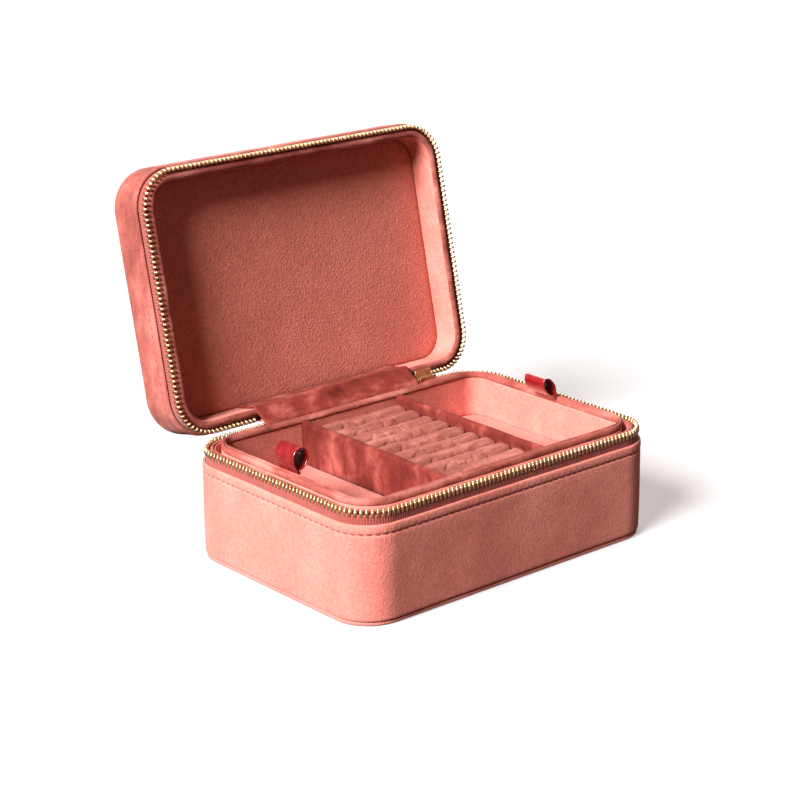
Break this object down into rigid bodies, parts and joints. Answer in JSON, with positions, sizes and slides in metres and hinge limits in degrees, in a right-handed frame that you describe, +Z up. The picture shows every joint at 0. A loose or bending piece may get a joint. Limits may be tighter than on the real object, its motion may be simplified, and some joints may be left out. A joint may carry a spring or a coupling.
{
  "type": "travel jewelry case",
  "caption": "Velvet zip-round jewelry case, lid open on a fabric hinge, with a lift-out tray of two compartments and a ring roll section.",
  "frame": {"origin": "centre of the bottom face, on the surface that the case stands on", "axes": "+Z up, +X along the case's length, +Y towards the hinge; the lid rests open"},
  "size_m": [0.15, 0.1517, 0.1453],
  "materials": {
    "outer_velvet": "dusty rose velvet with a short nap",
    "lining_velvet": "paler rose velvet lining",
    "crushed_velvet": "crushed velvet, deeper red",
    "roll_velvet": "velvet over foam rolls",
    "suede_lining": "brushed suede cloth",
    "zip_tape": "woven tape",
    "zip_metal": "polished light gold",
    "tab_leather": "glossy dark red",
    "board": "grey-brown board",
    "foam": "soft foam sheet"
  },
  "bodies": {
    "base": {"base_shell": "board", "base_cover": "outer_velvet", "base_bottom_panel": "outer_velvet", "base_piping": "outer_velvet", "base_zip_tape": "zip_tape", "base_zip_chain": "zip_metal", "base_edge_binding": "lining_velvet", "base_wall_lining": "lining_velvet", "well_liner": "lining_velvet", "well_floor_pad": "suede_lining", "spine_lower_flap": "outer_velvet", "hinge_strip_lower": "crushed_velvet", "zip_end_stops": "zip_metal"},
    "lid": {"lid_shell": "board", "lid_cover": "outer_velvet", "lid_top_panel": "outer_velvet", "lid_top_foam": "foam", "lid_zip_tape": "zip_tape", "lid_zip_chain": "zip_metal", "lid_edge_binding": "lining_velvet", "lid_wall_lining": "lining_velvet", "lid_panel": "suede_lining", "lid_panel_foam": "foam", "spine_upper_flap": "outer_velvet", "hinge_strip_upper": "crushed_velvet"},
    "tray": {"tray_frame": "lining_velvet", "tray_floor": "board", "tray_rim": "lining_velvet", "tray_left_pad": "lining_velvet", "tray_right_pad": "lining_velvet", "divider_left": "crushed_velvet", "divider_right": "crushed_velvet", "ring_bed": "foam", "ring_roll_1": "roll_velvet", "ring_roll_2": "roll_velvet", "ring_roll_3": "roll_velvet", "ring_roll_4": "roll_velvet", "ring_roll_5": "roll_velvet", "ring_roll_6": "roll_velvet", "ring_roll_7": "roll_velvet", "ring_roll_8": "roll_velvet", "ring_roll_9": "roll_velvet", "ring_roll_10": "roll_velvet", "tab_root_left": "tab_leather", "tab_root_right": "tab_leather"},
    "tab_left": {"tab_loop_left": "tab_leather"},
    "tab_right": {"tab_loop_right": "tab_leather"},
    "zip_slider": {"zip_slider": "zip_metal"},
    "zip_pull": {"zip_pull": "zip_metal"}
  },
  "joints": [
    {"name": "lid_hinge", "type": "hinge", "parent": "base", "child": "lid", "pos_m": [0, 0.05225, 0.044], "axis": [-1, 0, 0], "range_deg": [-102.5, 0]},
    {"name": "tray_lift", "type": "slide", "parent": "base", "child": "tray", "axis": [0, 0, 1], "range_m": [0, 0.06]},
    {"name": "zip_slide", "type": "slide", "parent": "base", "child": "zip_slider", "axis": [1, 0, 0], "range_m": [0, 0.0085]},
    {"name": "zip_pull_swing", "type": "hinge", "parent": "zip_slider", "child": "zip_pull", "pos_m": [0.0455, 0.05435, 0.042], "axis": [1, 0, 0], "range_deg": [0, 75]},
    {"name": "tab_left_fold", "type": "hinge", "parent": "tray", "child": "tab_left", "pos_m": [-0.0652, 0, 0.0463], "axis": [0, 1, 0], "range_deg": [0, 45], "stiffness_Nm_per_rad": 0.002},
    {"name": "tab_right_fold", "type": "hinge", "parent": "tray", "child": "tab_right", "pos_m": [0.0652, 0, 0.0463], "axis": [0, -1, 0], "range_deg": [0, 45], "stiffness_Nm_per_rad": 0.002}
  ]
}
